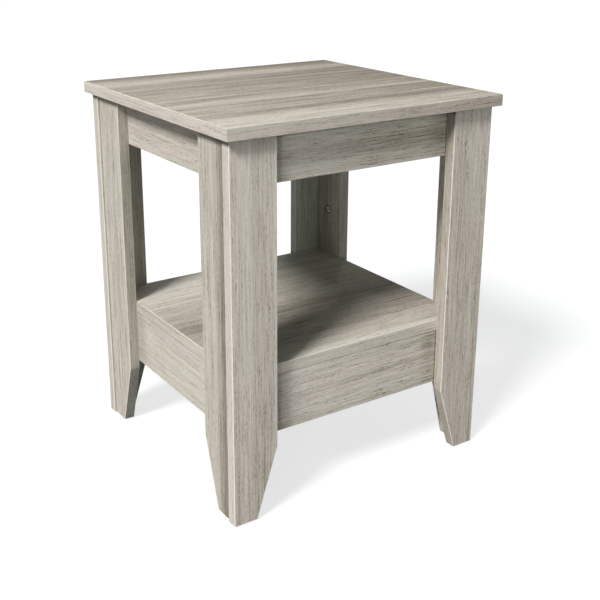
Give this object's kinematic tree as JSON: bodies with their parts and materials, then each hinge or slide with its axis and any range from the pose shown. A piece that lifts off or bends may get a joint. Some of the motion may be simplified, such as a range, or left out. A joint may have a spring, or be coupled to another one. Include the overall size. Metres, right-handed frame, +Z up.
{
  "type": "nightstand",
  "caption": "Small open nightstand of wood-grain laminate: square top, tapered L-shaped corner legs, an apron under the top and a skirted lower shelf.",
  "frame": {"origin": "on the floor, below the middle of the top", "axes": "+Z up, the front faces -Y, +X to the right as seen from the front"},
  "size_m": [0.406, 0.393, 0.5],
  "materials": {
    "laminate": "greige oak-grain laminate on particleboard, satin",
    "edge_band": "greige oak-grain edge band, satin",
    "dowel_wood": "bare beech",
    "cam_zinc": "dull die-cast zinc",
    "fastener_steel": "zinc-plated steel",
    "bracket_steel": "zinc-plated pressed steel",
    "glide_plastic": "moulded plastic"
  },
  "bodies": {
    "root": {"apron_cam_bolts": "fastener_steel", "apron_cam_locks": "cam_zinc", "apron_dowels": "dowel_wood", "apron_leg_screws": "fastener_steel", "front_apron": "laminate", "front_apron_bands": "edge_band", "front_left_leg_face": "laminate", "front_left_leg_face_bands": "edge_band", "front_left_leg_side": "laminate", "front_left_leg_side_bands": "edge_band", "front_right_leg_face": "laminate", "front_right_leg_face_bands": "edge_band", "front_right_leg_side": "laminate", "front_right_leg_side_bands": "edge_band", "front_skirt": "laminate", "front_skirt_bands": "edge_band", "glide_nails": "fastener_steel", "glide_pads": "glide_plastic", "left_apron": "laminate", "left_apron_bands": "edge_band", "left_skirt": "laminate", "left_skirt_bands": "edge_band", "leg_cam_bolts": "fastener_steel", "leg_cam_locks": "cam_zinc", "leg_dowels": "dowel_wood", "rear_apron": "laminate", "rear_apron_bands": "edge_band", "rear_left_leg_face": "laminate", "rear_left_leg_face_bands": "edge_band", "rear_left_leg_side": "laminate", "rear_left_leg_side_bands": "edge_band", "rear_right_leg_face": "laminate", "rear_right_leg_face_bands": "edge_band", "rear_right_leg_side": "laminate", "rear_right_leg_side_bands": "edge_band", "rear_skirt": "laminate", "rear_skirt_bands": "edge_band", "right_apron": "laminate", "right_apron_bands": "edge_band", "right_skirt": "laminate", "right_skirt_bands": "edge_band", "shelf_bracket_screws": "fastener_steel", "shelf_brackets": "bracket_steel", "shelf_dowels": "dowel_wood", "shelf_panel": "laminate", "shelf_panel_bands": "edge_band", "skirt_cam_bolts": "fastener_steel", "skirt_cam_locks": "cam_zinc", "skirt_dowels": "dowel_wood", "skirt_leg_screws": "fastener_steel", "top_bracket_screws": "fastener_steel", "top_brackets": "bracket_steel", "top_dowels": "dowel_wood", "top_panel": "laminate", "top_panel_bands": "edge_band"}
  },
  "joints": []
}
